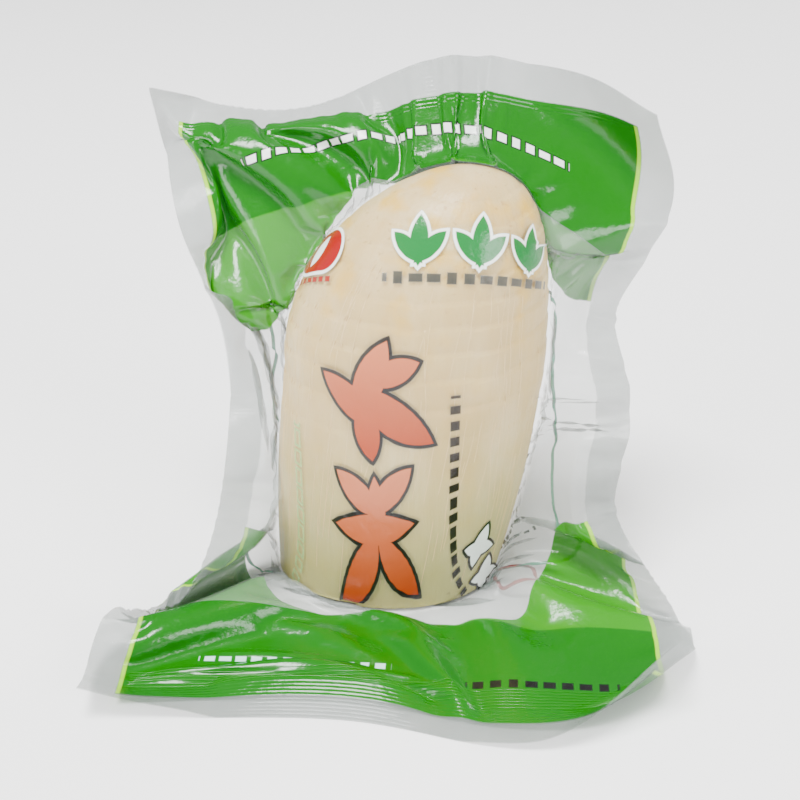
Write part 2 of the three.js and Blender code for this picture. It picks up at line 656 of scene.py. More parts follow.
@dataclass
class Paint:
    """A material's node tree, with short ways to build what this pack needs."""

    name: str
    material: bpy.types.Material = field(init=False)
    tree: bpy.types.NodeTree = field(init=False)
    shader: bpy.types.Node = field(init=False)
    coordinates: bpy.types.Node = field(init=False)

    def __post_init__(self) -> None:
        """Makes the material with its shader and output."""
        self.material = bpy.data.materials.new(self.name)
        self.material.use_nodes = True
        self.tree = self.material.node_tree
        self.tree.nodes.clear()
        self.shader = self.tree.nodes.new("ShaderNodeBsdfPrincipled")
        output = self.tree.nodes.new("ShaderNodeOutputMaterial")
        self.tree.links.new(self.shader.outputs[0], output.inputs["Surface"])
        self.coordinates = self.tree.nodes.new("ShaderNodeTexCoord")

    def set(self, **values: object) -> None:
        """Sets the shader's own sockets.

        Args:
            values: A value for each socket; an underscore in its name stands for a space.
        """
        for key, value in values.items():
            self.shader.inputs[key.replace("_", " ")].default_value = value

    def link(self, name: str, source: Wire | Socket) -> None:
        """Feeds one of the shader's sockets."""
        source = source.source if isinstance(source, Wire) else source
        self.tree.links.new(source, self.shader.inputs[name])

    def scaled(self, spread: Spread, scale: tuple) -> Socket:
        """Coordinates times a scale.

        Args:
            spread: Which coordinates.
            scale: The scale on each axis.

        Returns:
            The scaled coordinates.
        """
        node = self.tree.nodes.new("ShaderNodeVectorMath")
        node.operation = "MULTIPLY"
        self.tree.links.new(self.coordinates.outputs[spread.value], node.inputs[0])
        node.inputs[1].default_value = scale
        return node.outputs[0]

    def axes(self, vector: Socket) -> tuple[Wire, Wire, Wire]:
        """Splits a vector.

        Args:
            vector: The vector.

        Returns:
            Its three numbers.
        """
        node = self.tree.nodes.new("ShaderNodeSeparateXYZ")
        self.tree.links.new(vector, node.inputs[0])
        return tuple(Wire(self.tree, out) for out in node.outputs)

    def vector(self, x: Wire | float, y: Wire | float, z: Wire | float = 0.0) -> Socket:
        """Joins three numbers.

        Args:
            x: The first number.
            y: The second number.
            z: The third number.

        Returns:
            The vector.
        """
        node = self.tree.nodes.new("ShaderNodeCombineXYZ")
        for place, value in enumerate((x, y, z)):
            if isinstance(value, Wire):
                self.tree.links.new(value.source, node.inputs[place])
            else:
                node.inputs[place].default_value = value
        return node.outputs[0]

    def noise(self, vector: Socket, scale: float, detail: float = 2.0, rough: float = 0.5) -> Wire:
        """Smooth noise.

        Args:
            vector: Where it is read.
            scale: How fine it is.
            detail: How many finer layers it has.
            rough: How much each finer layer counts.

        Returns:
            The noise, from about 0 to 1.
        """
        node = self.tree.nodes.new("ShaderNodeTexNoise")
        self.tree.links.new(vector, node.inputs["Vector"])
        node.inputs["Scale"].default_value = scale
        node.inputs["Detail"].default_value = detail
        node.inputs["Roughness"].default_value = rough
        return Wire(self.tree, node.outputs[0])

    def facets(self, vector: Socket, scale: float) -> Wire:
        """Cells of uneven shape.

        Args:
            vector: Where they are read.
            scale: How fine they are.

        Returns:
            The distance to the nearest edge between two cells.
        """
        node = self.tree.nodes.new("ShaderNodeTexVoronoi")
        node.feature = "DISTANCE_TO_EDGE"
        self.tree.links.new(vector, node.inputs["Vector"])
        node.inputs["Scale"].default_value = scale
        return Wire(self.tree, node.outputs["Distance"])

    def chance(self, vector: Socket) -> Wire:
        """A random number for each place.

        Args:
            vector: The place, in two whole numbers.

        Returns:
            The number, from 0 to 1.
        """
        node = self.tree.nodes.new("ShaderNodeTexWhiteNoise")
        node.noise_dimensions = "2D"
        self.tree.links.new(vector, node.inputs["Vector"])
        return Wire(self.tree, node.outputs["Value"])

    def attribute(self, name: str) -> Wire:
        """A number that the piece's mesh holds at each point.

        Args:
            name: The attribute's name.

        Returns:
            The number.
        """
        node = self.tree.nodes.new("ShaderNodeAttribute")
        node.attribute_name = name
        return Wire(self.tree, node.outputs["Fac"])

    def mixed(self, share: Wire, a: Socket | tuple, b: Socket | tuple) -> Socket:
        """Mixes two colours.

        Args:
            share: How much of the second colour, from 0 to 1.
            a: The first colour.
            b: The second colour.

        Returns:
            The mixed colour.
        """
        node = self.tree.nodes.new("ShaderNodeMix")
        node.data_type = "RGBA"
        self.tree.links.new(share.source, node.inputs["Factor"])
        for place, value in ((6, a), (7, b)):
            if isinstance(value, tuple):
                node.inputs[place].default_value = (*value, 1.0)
            else:
                self.tree.links.new(value, node.inputs[place])
        return node.outputs[2]

    def bump(self, layers: tuple) -> None:
        """Adds fine relief.

        Args:
            layers: Each layer as (height, distance in metres, strength).
        """
        normal = None
        for height, distance, strength in layers:
            node = self.tree.nodes.new("ShaderNodeBump")
            node.inputs["Distance"].default_value = distance
            node.inputs["Strength"].default_value = strength
            self.tree.links.new(height.source, node.inputs["Height"])
            if normal is not None:
                self.tree.links.new(normal, node.inputs["Normal"])
            normal = node.outputs[0]
        self.tree.links.new(normal, self.shader.inputs["Normal"])


def linear(red: int, green: int, blue: int) -> tuple:
    """A light screen colour, from 0 to 255, as the linear colour that a shader takes."""
    return tuple(((value / 255 + 0.055) / 1.055) ** 2.4 for value in (red, green, blue))


@dataclass(frozen=True)
class ShootFlesh:
    """Moist, peeled, boiled shoot flesh: cream, with more amber on the dome and greener near the base.

    A grain is a noise's scale, detail and roughness. A patch is where its noise starts to show, and how
    fast it comes in. A stretch shortens the noise's step along the shoot, which makes it longer there.
    """

    cream: tuple = (0.60, 0.42, 0.165)
    pale: tuple = (0.70, 0.54, 0.275)
    amber: tuple = (0.70, 0.43, 0.05)
    brown: tuple = (0.36, 0.19, 0.04)
    green: tuple = (0.30, 0.35, 0.10)
    fibre_grain: tuple = (0.9, 3.0, 0.6)
    fibre_stretch: float = 0.06
    cloud_grain: tuple = (0.05, 3.0, 0.55)
    cloud_stretch: float = 0.5
    spot_grain: tuple = (0.09, 2.0, 0.5)
    speck_grain: tuple = (0.55, 1.0)
    pale_patch: tuple = (0.42, 4.0)
    fibre_patch: tuple = (0.45, 1.6)
    amber_patch: tuple = (0.52, 5.0)
    brown_patch: tuple = (0.66, 9.0)
    dome_patch: tuple = (0.62, 3.5)
    amber_shares: tuple = (0.9, 0.22)
    brown_shares: tuple = (0.45, 0.05)
    green_top: float = 0.5
    green_gain: float = 1.3

    def material(self, form: ShootForm, offset: np.ndarray) -> bpy.types.Material:
        """Builds the material.

        Args:
            form: The shoot's form, for the heights of its parts.
            offset: The pack's place in the frame.

        Returns:
            The material.
        """
        paint = Paint("shoot_flesh")
        x, y, z = paint.axes(paint.scaled(Spread.OBJECT, (1 / MM,) * 3))
        x, y = x - float(offset[0]), y - float(offset[1])
        height = (z - form.level) / form.height
        fibre = paint.noise(paint.vector(x, y, z * self.fibre_stretch), *self.fibre_grain)
        cloud = paint.noise(paint.vector(x, y, z * self.cloud_stretch), *self.cloud_grain)
        spots = paint.noise(paint.vector(x, y, z), *self.spot_grain)
        specks = paint.noise(paint.vector(x, y, z), *self.speck_grain)
        dome = height.above(*self.dome_patch)
        on_dome, elsewhere = self.amber_shares
        amber = spots.above(*self.amber_patch) * (dome * on_dome + elsewhere)
        on_dome, elsewhere = self.brown_shares
        brown = specks.above(*self.brown_patch) * (dome * on_dome + elsewhere)
        green = (height * -1.0 + self.green_top).kept(self.green_gain)
        base = paint.mixed(cloud.above(*self.pale_patch), self.cream, self.pale)
        base = paint.mixed(fibre.above(*self.fibre_patch), base, self.cream)
        for share, colour in ((amber, self.amber), (brown, self.brown), (green, self.green)):
            base = paint.mixed(share, base, colour)
        paint.link("Base Color", base)
        paint.set(Roughness=0.42, IOR=1.4, Subsurface_Weight=0.35, Subsurface_Scale=0.006,
                  Subsurface_Radius=(1.0, 0.75, 0.4))
        paint.bump(((fibre, 0.0006, 0.35), (cloud, 0.002, 0.25)))
        return paint.material


@dataclass(frozen=True)
class Inks:
    """The inks of the print."""

    green: tuple = (0.022, 0.21, 0.002)
    deep: tuple = (0.002, 0.12, 0.0015)
    lime: tuple = (0.32, 0.62, 0.01)
    pale: tuple = (0.30, 0.60, 0.22)
    teal: tuple = (0.015, 0.22, 0.11)
    white: tuple = linear(240, 246, 240)
    black: tuple = (0.006, 0.005, 0.006)
    red: tuple = (0.30, 0.004, 0.006)
    orange: tuple = (0.36, 0.036, 0.0003)
    peach: tuple = (0.58, 0.17, 0.07)
    grey: tuple = (0.05, 0.055, 0.05)
    leaf: tuple = (0.003, 0.16, 0.03)
    mist: tuple = linear(190, 235, 225)


@dataclass(frozen=True)
class DashRow:
    """A row of short dashes, in the place of a line of words.

    Its middle is a place up the pouch, or across it for an upright row, and it runs from start to end.
    A bow is how far the row drops 60 mm to each side of the pouch's middle.
    """

    middle: float
    start: float
    end: float
    pitch: float
    tall: float
    seed: float
    upright: bool = False
    bow: float = 0.0


@dataclass
class Print:
    """The ink on one film: its colour and cover, built up layer by layer on the flat pouch.

    Places are in millimetres on the flat pouch: u from its left edge, v from its lower edge.
    """

    paint: Paint
    pouch: PouchForm
    colour: Socket | tuple
    cover: Wire | float = field(init=False, default=0.0)
    u: Wire = field(init=False)
    v: Wire = field(init=False)
    x: Wire = field(init=False)

    def __post_init__(self) -> None:
        """Reads the flat place."""
        place = self.paint.scaled(Spread.FLAT, (self.pouch.length,) * 3)
        self.u, self.v, _ = self.paint.axes(place)
        self.x = self.u - self.pouch.width / 2

    def lay(self, mask: Wire, ink: Socket | tuple, cover: float = 0.9) -> None:
        """Lays an ink over what is there.

        Args:
            mask: 1 where the ink is.
            ink: Its colour.
            cover: How much it hides.
        """
        self.colour = self.paint.mixed(mask, self.colour, ink)
        if isinstance(self.cover, Wire):
            self.cover = self.cover + (self.cover * -1.0 + cover) * mask
        else:
            self.cover = mask * cover

    def within(self, low: float, high: float, value: Wire) -> Wire:
        """1 where a number is between two limits."""
        return value.below(high, 0.4) * (-value).below(-low, 0.4)

    def box(self, cx: float, cy: float, wide: float, tall: float, round_: float = 0.0) -> Wire:
        """The distance outside a box with round corners.

        Args:
            cx: The box's middle, u.
            cy: The box's middle, v.
            wide: Its width.
            tall: Its height.
            round_: The corners' radius.

        Returns:
            The distance, below zero inside the box.
        """
        dx = (self.u - cx).size() - (wide / 2 - round_)
        dy = (self.v - cy).size() - (tall / 2 - round_)
        out = (dx.most(0.0).power(2.0) + dy.most(0.0).power(2.0)).root()
        return out + dx.most(dy).least(0.0) - round_

    def leaf(self, cx: float, cy: float, length: float, width: float, turn: float) -> Wire:
        """The distance outside a pointed leaf; below zero inside it.

        Args:
            cx: The leaf's middle, u.
            cy: The leaf's middle, v.
            length: From tip to tip.
            width: Across its middle.
            turn: The angle of its length from the u axis, in degrees.

        Returns:
            The distance.
        """
        c, s = math.cos(math.radians(turn)), math.sin(math.radians(turn))
        along = (self.u - cx) * c + (self.v - cy) * s
        across = ((self.v - cy) * c - (self.u - cx) * s).size()
        half, rise = length / 2, width / 2
        radius = (half * half + rise * rise) / (2 * rise)
        return (along.power(2.0) + (across + (radius - rise)).power(2.0)).root() - radius

    def dashes(self, value: Wire, other: Wire, pitch: float, tall: float, seed: float) -> Wire:
        """Short dashes of uneven width and height, where a line of words would be.

        Args:
            value: The distance along the line.
            other: The distance across the line, from its middle.
            pitch: The dashes' pitch.
            tall: The dashes' greatest height.
            seed: Changes the pattern.

        Returns:
            The distance outside the nearest dash; below zero inside it.
        """
        cell = (value / pitch).floor()
        chance = self.paint.chance(self.paint.vector(cell, seed))
        wide = (value / pitch - cell - 0.5).size() * pitch - (chance * 0.3 + 0.5) * (pitch / 2)
        high = other.size() - (chance * -0.12 + 0.36) * tall
        return wide.most(high)

    def row(self, row: DashRow, ink: tuple, outline: tuple | None = None) -> None:
        """Lays a row of dashes.

        Args:
            row: Where it is and how large its dashes are.
            ink: The dashes' ink.
            outline: The ink of an outline round each dash, if it has one.
        """
        value, other = (self.v, self.u) if row.upright else (self.u, self.v)
        middle = (self.x / 60.0).power(2.0) * -row.bow + row.middle if row.bow else row.middle
        dashes = self.dashes(value, other - middle, row.pitch, row.tall, row.seed)
        room = self.within(row.start, row.end, value)
        if outline is not None:
            self.lay(dashes.below(0.45, 0.3) * room, outline)
        self.lay(dashes.below(0.0, 0.3) * room, ink)


@dataclass(frozen=True)
class PrintPlaces:
    """Where the marks are on the flat pouch, in millimetres from its lower left corner.

    A box is its middle, width, height and corner radius. A leaf is its middle, length, width and turn,
    and in a cluster its middle is counted from the cluster's own.
    """

    frame: tuple = (102.5, 144.0, 135.0, 118.0, 14.0)
    label: tuple = (106.0, 140.0, 98.0, 84.0, 1.0)
    label_pitch: float = 7.0
    label_shift: float = 3.7
    label_dashes: tuple = (3.6, 3.0, 3.0)
    stamp: tuple = (142.0, 79.0, 16.0, 9.0, 3.0)
    faint_column: DashRow = DashRow(64.0, 98.0, 158.0, 6.0, 5.0, 23.0, upright=True)
    sprays: tuple = (
        ((93.0, 170.0), ((1, 5, 24, 9, 62), (-6, -1, 22, 8, 140), (7, -5, 31, 10, -32),
                         (-1, -9, 16, 8, 100), (8, 7, 17, 7, 20))),
        ((93.0, 132.0), ((-5, 12, 18, 7, 145), (6, 13, 18, 7, 40), (0, 3, 27, 8, 2), (-4, -8, 23, 8, 66),
                         (7, -7, 21, 7, -58), (1, 8, 18, 6, 92))),
    )
    badge: tuple = (72.0, 211.0, 22.0, 14.0, 6.9)
    badge_leaf: tuple = (72.0, 211.0, 12.0, 5.0, 55)
    badge_row: DashRow = DashRow(201.5, 58.0, 81.0, 3.0, 3.0, 5.0)
    rosettes: tuple = (108.0, 125.0, 142.0)
    rosette_height: float = 212.0
    rosette_leaves: tuple = ((0, 0, 14, 5, 90), (-3, -2, 12, 4.5, 135), (3, -2, 12, 4.5, 45))
    rosette_row: DashRow = DashRow(202.0, 98.0, 152.0, 5.0, 4.6, 7.0)
    upright_row: DashRow = DashRow(120.0, 78.0, 170.0, 4.8, 4.8, 9.0, upright=True)
    mark_place: float = 130.0
    mark_heights: tuple = (115.0, 100.0)
    mark_leaves: tuple = ((0, 0, 15, 6, 60), (0, -1, 14, 5.5, -35))
    bowed_row: DashRow = DashRow(259.0, 34.0, 161.0, 5.0, 4.4, 11.0, bow=9.0)
    left_row: DashRow = DashRow(30.0, 34.0, 96.0, 5.0, 3.8, 13.0)
    right_row: DashRow = DashRow(25.0, 122.0, 170.0, 5.6, 5.0, 17.0)


class Side(Enum):
    """The pouch's two films."""

    FRONT = 0
    BACK = 1


@dataclass(frozen=True)
class PouchFilm:
    """Clear laminated film with its print.

    Lengths are in millimetres on the flat pouch. A sweep and a lobe are where a band's edge starts to
    move and how far on it has moved, as shares of the pouch's half width, and how far it moves.
    """

    clear: tuple = (0.31, 0.345, 0.32)
    haze: float = 0.26
    seal_haze: float = 0.42
    seal_clear: tuple = (0.20, 0.235, 0.215)
    cloudy: float = 0.12
    wet: float = 0.7
    rib_pitch: float = 1.3
    band_top: float = 244.0
    band_bottom: float = 55.0
    top_margin: float = 11.0
    bottom_margin: float = 8.0
    fringe: float = 1.3
    front_sweep: tuple = (0.20, 0.6, 60.0)
    back_sweep: tuple = (0.25, 0.7, 45.0)
    lobe: tuple = (0.4, 0.5, 56.0)
    top_dip: float = 25.0
    bottom_dip: float = 6.0
    fade_start: float = 16.0
    fade_reach: float = 36.0
    inks: Inks = Inks()
    places: PrintPlaces = PrintPlaces()

    def material(self, pouch: PouchForm, side: Side) -> bpy.types.Material:
        """Builds one film's material.

        Args:
            pouch: The pouch's sizes.
            side: Which film.

        Returns:
            The material.
        """
        paint = Paint(f"{side.name.lower()}_film")
        print_ = Print(paint, pouch, self.clear)
        edge = print_.box(pouch.width / 2, pouch.length / 2, pouch.width - 2 * pouch.seal,
                          pouch.length - 2 * pouch.end_seal, 2.0)
        sealed = (-edge).below(0.0, 0.6)
        print_.colour = paint.mixed(sealed, self.clear, self.seal_clear)
        self._bands(print_, side)
        if side is Side.FRONT:
            self._motifs(print_)
        else:
            self._frame(print_)
        flat = paint.scaled(Spread.FLAT, (pouch.length,) * 3)
        cloud = paint.noise(flat, 0.06, 3.0, 0.6)
        haze = sealed * (self.seal_haze - self.haze) + (cloud - 0.5) * self.cloudy + self.haze
        haze = haze * (paint.attribute("touch") * -self.wet + 1.0)
        alpha = haze + (haze * -1.0 + 1.0) * print_.cover
        paint.link("Base Color", print_.colour)
        paint.link("Alpha", alpha)
        paint.set(Roughness=0.2, IOR=1.5, Specular_IOR_Level=0.36, Coat_Weight=0.12, Coat_Roughness=0.08,
                  Coat_IOR=1.5)
        dents = paint.noise(flat, 0.16, 3.0, 0.55)
        creases = paint.facets(flat, 0.11)
        ribs = (print_.v * (2 * math.pi / self.rib_pitch)).sine() * sealed
        paint.bump(((dents, 0.0012, 0.35), (creases, 0.0012, 0.12), (ribs, 0.00012, 0.35)))
        return paint.material

    def _bands(self, print_: Print, side: Side) -> None:
        """The green bands at the pouch's ends: deeper where both films are green.

        Each film's bands reach further along the pouch on one side, and the other film's on the other.

        Args:
            print_: The print to lay them on.
            side: Which film.
        """
        inks, pouch, x = self.inks, print_.pouch, print_.x
        half = pouch.width / 2 - pouch.seal
        inside = x.size().below(half, 0.5)
        shares = (x / -half).most(0.0), (x / half).most(0.0)
        bands = []
        for low_side, high_side, sweep in ((*shares, self.front_sweep), (*shares[::-1], self.back_sweep)):
            start, reach, drop = sweep
            top = high_side.power(1.5) * -self.top_dip - low_side.ramp(start, reach) * drop + self.band_top
            start, reach, rise = self.lobe
            bottom = low_side.power(2.0) * -self.bottom_dip + high_side.ramp(start, reach) * rise
            bottom = bottom + self.band_bottom
            high = print_.v.below(pouch.length - self.top_margin, 0.4) * (-print_.v).below(-top, 0.5)
            low = (-print_.v).below(-self.bottom_margin, 0.4) * print_.v.below(bottom, 0.5)
            bands.append((high + low) * inside)
        own, other = bands if side is Side.FRONT else bands[::-1]
        ink = print_.paint.mixed(other, inks.green, inks.deep)
        print_.lay(own, ink, 0.95)
        print_.lay((-x.size()).below(-(half - self.fringe), 0.4) * own, inks.lime, 0.85)

    def _frame(self, print_: Print) -> None:
        """The back film's thin rounded frame, with rows of dashes where a label's lines are.

        Args:
            print_: The print to lay it on.
        """
        inks, places = self.inks, self.places
        print_.lay(print_.box(*places.frame).size().below(0.6, 0.3), inks.teal)
        pitch = places.label_pitch
        rows = (print_.v / pitch).floor()
        middle = print_.v - rows * pitch - pitch / 2
        marks = print_.dashes(print_.u + rows * places.label_shift, middle, *places.label_dashes)
        print_.lay(marks.below(0.0, 0.3) * print_.box(*places.label).below(0.0, 0.3), inks.grey)
        print_.lay(print_.box(*places.stamp).size().below(0.7, 0.3), inks.red, 0.6)

    def _motifs(self, print_: Print) -> None:
        """The front film's picture marks: leaf sprays, a plain badge and rows of dashes.

        Args:
            print_: The print to lay them on.
        """
        inks, places = self.inks, self.places
        column = places.faint_column
        faint = print_.dashes(print_.v, print_.u - column.middle, column.pitch, column.tall, column.seed)
        room = print_.within(column.start, column.end, print_.v)
        print_.lay(faint.size().below(0.4, 0.3) * room, inks.pale, 0.5)
        for middle, leaves in places.sprays:
            self._spray(print_, *middle, leaves)
        badge = print_.box(*places.badge)
        print_.lay(badge.below(1.1, 0.3), inks.white, 0.95)
        print_.lay(badge.below(0.0, 0.3), inks.red, 0.95)
        print_.lay(print_.leaf(*places.badge_leaf).below(0.0, 0.3), inks.white, 0.95)
        print_.row(places.badge_row, inks.red)
        for cx in places.rosettes:
            rosette = self._cluster(print_, cx, places.rosette_height, places.rosette_leaves)
            print_.lay(rosette.below(0.9, 0.3), inks.white, 0.95)
            print_.lay(rosette.below(0.0, 0.3), inks.leaf, 0.95)
        print_.row(places.rosette_row, inks.grey)
        print_.row(places.upright_row, inks.black)
        for cy in places.mark_heights:
            mark = self._cluster(print_, places.mark_place, cy, places.mark_leaves)
            print_.lay(mark.below(1.0, 0.3), inks.black, 0.92)
            print_.lay(mark.below(0.0, 0.3), inks.white, 0.95)
        print_.row(places.bowed_row, inks.white, inks.black)
        print_.row(places.left_row, inks.mist)
        print_.row(places.right_row, inks.black)

    @staticmethod
    def _cluster(print_: Print, cx: float, cy: float, leaves: tuple) -> Wire:
        """The distance outside a cluster of leaves; below zero inside it.

        Args:
            print_: The print whose places it reads.
            cx: The cluster's middle, u.
            cy: The cluster's middle, v.
            leaves: Each leaf as (u, v, length, width, turn) from the middle.

        Returns:
            The distance.
        """
        shape = None
        for du, dv, length, width, turn in leaves:
            leaf = print_.leaf(cx + du, cy + dv, length, width, turn)
            shape = leaf if shape is None else shape.least(leaf)
        return shape

    def _spray(self, print_: Print, cx: float, cy: float, leaves: tuple) -> None:
        """A spray of leaves with a black outline and a warm colour that deepens downwards.

        Args:
            print_: The print to lay it on.
            cx: The spray's middle, u.
            cy: The spray's middle, v.
            leaves: Each leaf as (u, v, length, width, turn) from the middle.
        """
        shape = self._cluster(print_, cx, cy, leaves)
        print_.lay(shape.below(1.1, 0.3), self.inks.black, 0.95)
        fade = ((print_.v - (cy - self.fade_start)) / self.fade_reach).kept(1.0)
        warm = print_.paint.mixed(fade, self.inks.orange, self.inks.peach)
        print_.lay(shape.below(0.0, 0.3), warm, 0.96)


@dataclass
class PackPlace:
    """Where the pack stands in the CAD's frame, and how meshes get there."""

    form: ShootForm = field(init=False)
    offset: np.ndarray = field(init=False)
    shoot_width: float = 85.0

    def __post_init__(self) -> None:
        """Reads the shoot's box."""
        low, high = (np.array(corner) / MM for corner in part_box("bamboo_shoot"))
        self.form = ShootForm(self.shoot_width / 2, (high[1] - low[1]) / 2, high[2] - low[2], low[2])
        t = np.linspace(0, 1, 400)
        leftmost = (self.form.axis(t) - self.form.half_width * self.form.radius(t)).min()
        self.offset = np.array([low[0] - leftmost, (low[1] + high[1]) / 2, 0.0])

    def mesh(self, name: str, points: np.ndarray, faces: list) -> bpy.types.Object:
        """Makes a smooth surface from points in pack coordinates.

        Args:
            name: The object's name.
            points: Its points, in millimetres.
            faces: The points of each face.

        Returns:
            The object, at the origin, with its place in its mesh.
        """
        obj = self._object(name, points, [], faces)
        obj.data.polygons.foreach_set("use_smooth", np.ones(len(faces), bool))
        return obj

    def lines(self, name: str, lines: list) -> bpy.types.Object:
        """Makes a mesh of loose lines, for a Geometry Nodes tree to work on.

        Args:
            name: The object's name.
            lines: Each line's points in pack coordinates, in millimetres.

        Returns:
            The object, at the origin, with its place in its mesh.
        """
        edges, first = [], 0
        for line in lines:
            edges += [(first + i, first + i + 1) for i in range(len(line) - 1)]
            first += len(line)
        return self._object(name, np.concatenate(lines), edges, [])

    def _object(self, name: str, points: np.ndarray, edges: list, faces: list) -> bpy.types.Object:
        """Makes an object with a mesh.

        Args:
            name: The name of both.
            points: The mesh's points in pack coordinates, in millimetres.
            edges: The points of each loose edge.
            faces: The points of each face.

        Returns:
            The object.
        """
        mesh = bpy.data.meshes.new(name)
        mesh.from_pydata(((points + self.offset) * MM).tolist(), edges, faces)
        obj = bpy.data.objects.new(name, mesh)
        bpy.context.scene.collection.objects.link(obj)
        return obj


def quads(rows: int, cols: int, closed: bool = False) -> np.ndarray:
    """The four-sided faces of a grid of points.

    Args:
        rows: How many rows of points.
        cols: How many points in a row.
        closed: Joins each row's last point to its first.

    Returns:
        The points of each face.
    """
    index = np.arange(rows * cols).reshape(rows, cols)
    right = np.roll(index, -1, 1) if closed else index[:, 1:]
    left = index if closed else index[:, :-1]
    return np.stack([left[:-1], right[:-1], right[1:], left[1:]], -1).reshape(-1, 4)


@dataclass
class BambooShoot:
    """The shoot: a barrel with a cut base and a dome, ringed by nodes and streaked by fibres."""

    place: PackPlace
    finish: ShootFlesh = ShootFlesh()
    around: int = 240
    rings: int = 200
    nodes: int = 13
    node_depth: float = 0.55
    node_sway: float = 0.006
    node_crowding: float = 1.9
    nodes_from: float = 0.3
    nodes_fade: float = 0.35
    groove_waves: int = 26
    groove_depth: float = 0.012
    dent_waves: int = 10
    dent_depth: float = 0.09
    inset: float = 0.35
    seed: int = 11

    def _relief(self, t: np.ndarray, angle: np.ndarray) -> np.ndarray:
        """The node rings, the fine grooves between fibres and the broad dents.

        Args:
            t: Shares of the height.
            angle: The way round the axis, in radians from the front.

        Returns:
            How far the surface stands out from the smooth form, in millimetres: mostly below zero.
        """
        rng = np.random.default_rng(self.seed)
        scallop = np.zeros_like(t)
        for wave in range(2, 9):
            scallop += rng.normal() * self.node_sway / wave * np.sin(wave * angle + rng.uniform(0, 6.28))
        phase = self.nodes * (t + scallop) ** self.node_crowding
        past_node = phase - np.floor(phase)
        showing = np.clip((t - self.nodes_from) / self.nodes_fade, 0, 1)
        rings = -self.node_depth * (1 - past_node) ** 3 * showing
        grooves = np.zeros_like(t)
        for _ in range(self.groove_waves):
            count = rng.integers(24, 110)
            start = rng.uniform(0, 6.28)
            grooves += np.sin(count * angle + start + 3 * np.sin(2.3 * t + rng.uniform(0, 6.28)))
        dents = np.zeros_like(t)
        for _ in range(self.dent_waves):
            depth, count, tilt = rng.normal(), rng.integers(1, 5), rng.uniform(2, 9)
            dents += depth * np.sin(count * angle + tilt * t + rng.uniform(0, 6))
        return rings + self.groove_depth * grooves + self.dent_depth * dents - self.inset

    def surface(self, t: np.ndarray, angle: np.ndarray, lift: float = 0.0) -> np.ndarray:
        """Points on the shoot's side.

        Args:
            t: Shares of the height.
            angle: The way round the axis, in radians from the front.
            lift: How far outside the surface.

        Returns:
            Points in pack coordinates.
        """
        form = self.place.form
        radius = form.radius(t)
        out = self._relief(t, angle) * np.minimum(1.0, radius * 2.5) + lift
        x = form.axis(t) + (form.half_width * radius + out) * np.sin(angle)
        y = -(form.half_depth * radius + out) * np.cos(angle)
        return np.stack([x, y, form.level + 0.15 + t * (form.height - 0.6)], -1)

    def build(self) -> bpy.types.Object:
        """Builds and dresses the shoot.

        Returns:
            The shoot's object.
        """
        form = self.place.form
        turn = np.linspace(0, 2 * math.pi, self.around, endpoint=False)
        rise = np.sin(np.linspace(0, math.pi / 2, self.rings))
        t, angle = np.meshgrid(rise[:-1], turn, indexing="ij")
        side = self.surface(t, angle)
        foot = [side[0] * [s, s, 0] + [form.axis(np.zeros(1))[0] * (1 - s), 0, form.level + lift]
                for s, lift in ((0.0, 0.25), (0.35, 0.2), (0.7, 0.12), (0.975, 0.02))]
        grid = np.concatenate([np.array(foot), side])
        tip = np.array([form.axis(np.ones(1))[0], 0.0, form.level + form.height - 0.45])
        points = np.concatenate([grid[1:].reshape(-1, 3), foot[0][:1], tip[None]])
        rows = len(grid) - 1
        faces = quads(rows, self.around, closed=True)
        first, last = np.arange(self.around), np.arange(self.around) + (rows - 1) * self.around
        base, top = rows * self.around, rows * self.around + 1
        fans = [[int(base), int(np.roll(first, -1)[i]), int(first[i])] for i in range(self.around)]
        fans += [[int(top), int(last[i]), int(np.roll(last, -1)[i])] for i in range(self.around)]
        obj = self.place.mesh("shoot", points, faces.tolist() + fans)
        obj.data.materials.append(self.finish.material(form, self.place.offset))
        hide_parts("bamboo_shoot")
        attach(obj, BODY)
        LOG.info("%s: %d faces", obj.name, len(obj.data.polygons))
        return obj


@dataclass
class Pouch:
    """The two films of the vacuum pouch."""

    place: PackPlace
    form: PouchForm = PouchForm()
    finish: PouchFilm = PouchFilm()
    pair: FilmPair = field(init=False)

    def build(self) -> list[bpy.types.Object]:
        """Simulates, builds and dresses both films.

        Returns:
            The front film and the back film.
        """
        pair = FilmPair(self.place.form, self.form)
        pair.settle(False)
        self.pair = pair
        u, v = pair.flat
        flat = np.stack([u, v], -1).reshape(-1, 2) / self.form.length
        made = []
        for side in Side:
            grid = pair.grid[side.value]
            faces = quads(*grid.shape[:2])
            if side is Side.BACK:
                faces = faces[:, ::-1]
            name = f"{side.name.lower()}_sheet"
            obj = self.place.mesh(name, grid.reshape(-1, 3), faces.tolist())
            self._spread(obj.data, flat)
            touch = obj.data.attributes.new("touch", "FLOAT", "POINT")
            touch.data.foreach_set("value", pair.touching(side.value).astype(np.float32).ravel())
            obj.data.materials.append(self.finish.material(self.form, side))
            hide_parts(f"{side.name.lower()}_film")
            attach(obj, BODY)
            f"{side.name.lower()}_film"
            LOG.info("%s: %d faces", name, len(faces))
            made.append(obj)
        return made


    @staticmethod
    def _spread(mesh: bpy.types.Mesh, flat: np.ndarray) -> None:
        """Gives a film's mesh the UV map that its print is read from.

        Args:
            mesh: The film's mesh.
            flat: Each point's flat place, as shares of the pouch's length.
        """
        loops = np.empty(len(mesh.loops), np.int32)
        mesh.loops.foreach_get("vertex_index", loops)
        layer = mesh.uv_layers.new(name="flat")
        layer.data.foreach_set("uv", flat[loops].astype(np.float32).ravel())


